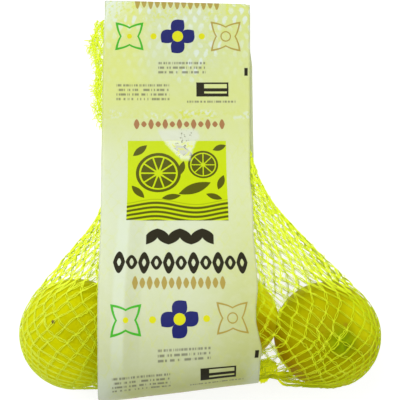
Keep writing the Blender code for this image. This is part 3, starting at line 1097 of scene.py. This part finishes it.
panel = bar(14.6, 76.4, 88.5, 146.0)
hills = w - 2.0 * (u * 0.13 + 0.6).wave()
furrows = (hills * (1 / 3.4)).math("FRACT", hills * (1 / 3.4))
PANEL_LEAVES = (
    (56.0, 121.5, 11.0, 3.6, 24),
    (49.0, 95.0, 7.0, 2.6, -28),
    (22.0, 95.0, 5.6, 2.2, 40),
    (72.5, 117.0, 5.6, 2.2, 70),
    (21.0, 124.0, 6.0, 2.2, -50),
    (41.5, 128.0, 6.0, 2.2, 10),
    (48.0, 107.0, 5.2, 2.0, 74),
    (72.0, 93.0, 4.6, 1.9, 20),
    (68.0, 127.5, 5.4, 2.1, -22),
)
olive = any_of(
    wheel(33.5, 110.5, 14.0, 10),
    wheel(61.5, 104.5, 9.5, 8),
    *[leaf(*values) for values in PANEL_LEAVES],
    between(furrows, 0.26, 0.80, 0.12) * hills.rise(131.0, 132.5),
)
dark = any_of(
    leaf_row(30.0, 6.7, 6, w - 158.2, 7.4, 3.4, 58),
    leaf_row(11.5, 7.2, 11, w - 177.5, 3.5, 7.6, fewer=0.34)
    * (1 - leaf_row(11.5, 7.2, 11, w - 177.5, 1.2, 2.6)),
    bar(88.8, 91.0, 42.0, 47.0),
    bar(58.0, 78.5, 51.2, 60.2)
    * (1 - any_of(bar(63.0, 77.4, 52.3, 54.9), bar(63.0, 77.4, 57.0, 58.2))),
)
fine = any_of(
    fine_rows(8.0, 41.0, 51.7, 63.3, 2.9),
    fine_rows(34.0, 64.0, 37.6, 46.3, 2.9),
    fine_rows(52.0, 83.0, 62.2, 64.8, 2.6),
)
from_join = (w + PRINT_REPEAT / 2).math("MODULO", w + PRINT_REPEAT / 2, PRINT_REPEAT)
from_join = from_join - PRINT_REPEAT / 2
ochre = any_of(
    leaf_row(21.0, 4.2, 13, from_join - 0.6, 1.7, 4.2, fewer=0.2),
    outlined_cross(77.0, 22.0, 13.5, 5.2, 0.8),
    inside(0.4 - (((u - 77.0) * (u - 77.0) + (w - 22.0) * (w - 22.0)) ** 0.5 - 3.0).size()),
)
red = leaf_row(20.0, 4.5, 13, w - 77.8, 1.8, 3.2, fewer=0.4)
green = outlined_cross(16.0, 22.0, 12.5, 4.8, 1.0)
petals = [
    leaf(46.5 + 6.4 * i, 22.0 + 6.4 * j, 5.4, 4.6, 45)
    for i, j in ((0, 1), (0, -1), (1, 0), (-1, 0))
]
navy = any_of(*petals)
yellow_dots = ((46.5, 22.0, 3.4), (31.2, 22.0, 2.0), (61.8, 22.0, 2.0), (16.0, 22.0, 1.6))
yellow = any_of(*[disc(*values) for values in yellow_dots])
for shapes, ink in (
    (panel, LIME_INK),
    (panel * olive, OLIVE_INK),
    (dark, DARK_INK),
    (fine * 0.8, GREY_INK),
    (red * 0.85, RED_INK),
    (ochre * 0.9, OCHRE_INK),
    (green, GREEN_INK),
    (navy, NAVY_INK),
    (yellow, YELLOW_INK),
):
    colour = film_finish.mix(shapes, colour, ink)

# Painted reflection: a pale wedge of glare on the crumpled film, with yarn showing through it and dark flecks
wedge_half = 4.0 + (99.0 - v).or_more(0.0).or_less(14.0) * 0.6
painted_glare_wedge = (wedge_half - (u - 47.5 + 0.25 * (90.0 - v)).size() + 9.0 * warp).rise(-0.8, 1.6)
painted_glare_wedge = painted_glare_wedge * between(v, 81.0, 101.0, 1.6)
rough = film_finish.mottle(band_place, 1.9, 4.0)
colour = film_finish.mix(painted_glare_wedge * 0.72, colour, FILM_HAZE_AND_PAINTED_GLARE)
yarn_through_glare = painted_glare_wedge * rough.rise(0.52, 0.60) * v.rise(86.0, 92.0)
colour = film_finish.mix(yarn_through_glare * 0.75, colour, YARN_SHOWING)
dark_flecks = painted_glare_wedge * (1 - rough.rise(0.36, 0.42)) * between(u + 0.35 * v, 76.0, 84.0, 1.5)
colour = film_finish.mix(dark_flecks * 0.9, colour, FILM_DARK_FLECKS_AND_SHADE)
printed = any_of(panel, dark, fine, red, ochre, green, navy, yellow)
film_finish.feed(Base_Color=colour, Alpha=0.78 + 0.22 * printed)
film_finish.bump(film_finish.mottle(band_place, 5.0, 4.0), 0.0004, 0.5)
film = add_piece("film", film_mesh, film_finish, "film", "film_band")
film_thickness = film.modifiers.new("Thickness", "SOLIDIFY")
film_thickness.thickness = FILM_THICKNESS * MM
film_thickness.offset = 0.0

# Table, light and camera
# A plain white sweep under soft studio light, seen from straight above.
FLOOR_SIZE = 4.0
CAMERA_HEIGHT = 0.600
CAMERA_Y = -0.0035
FOCAL_PIXELS = 941.0
PHOTO_PIXELS = 400
SENSOR = 36.0
floor_mesh = bpy.data.meshes.new("floor")
floor_shape = bmesh.new()
bmesh.ops.create_grid(floor_shape, x_segments=4, y_segments=4, size=FLOOR_SIZE / 2)
floor_shape.to_mesh(floor_mesh)
floor_shape.free()
floor_finish = Finish("white_sweep", Roughness=0.9, Specular_IOR_Level=0.1)
floor_finish.feed(
    Base_Color=floor_finish.mix(
        floor_finish.mottle(floor_finish.place(), 0.3), (0.32, 0.32, 0.32), (0.34, 0.34, 0.34)
    )
)
floor_finish.shader.inputs["Emission Color"].default_value = (1.0, 1.0, 1.0, 1.0)
floor_finish.shader.inputs["Emission Strength"].default_value = 0.76
floor_mesh.materials.append(floor_finish.material)
floor = bpy.data.objects.new("floor", floor_mesh)
bpy.context.scene.collection.objects.link(floor)


def add_area(name, place, size, watts):
    """Soft square light aimed at the pack."""
    lamp = bpy.data.lights.new(name, "AREA")
    lamp.size = size
    lamp.energy = watts
    light = bpy.data.objects.new(name, lamp)
    light.location = place
    light.rotation_mode = "QUATERNION"
    light.rotation_quaternion = (-Vector(place)).to_track_quat("-Z", "Y")
    bpy.context.scene.collection.objects.link(light)


add_area("key", (-0.45, 0.60, 1.0), 0.9, 12.0)
add_area("fill", (0.7, 0.2, 1.0), 0.9, 3.0)
world = bpy.data.worlds.new("studio")
world.use_nodes = True
world.node_tree.nodes["Background"].inputs["Color"].default_value = (1.0, 1.0, 1.0, 1.0)
world.node_tree.nodes["Background"].inputs["Strength"].default_value = 0.60
bpy.context.scene.world = world
bpy.context.scene.view_settings.view_transform = "Standard"

camera_data = bpy.data.cameras.new("camera")
camera_data.sensor_width = SENSOR
camera_data.lens = FOCAL_PIXELS * SENSOR / PHOTO_PIXELS
camera_data.clip_start = 0.01
camera = bpy.data.objects.new("camera", camera_data)
camera.location = (0.0, CAMERA_Y, CAMERA_HEIGHT)
bpy.context.scene.collection.objects.link(camera)
bpy.context.scene.camera = camera
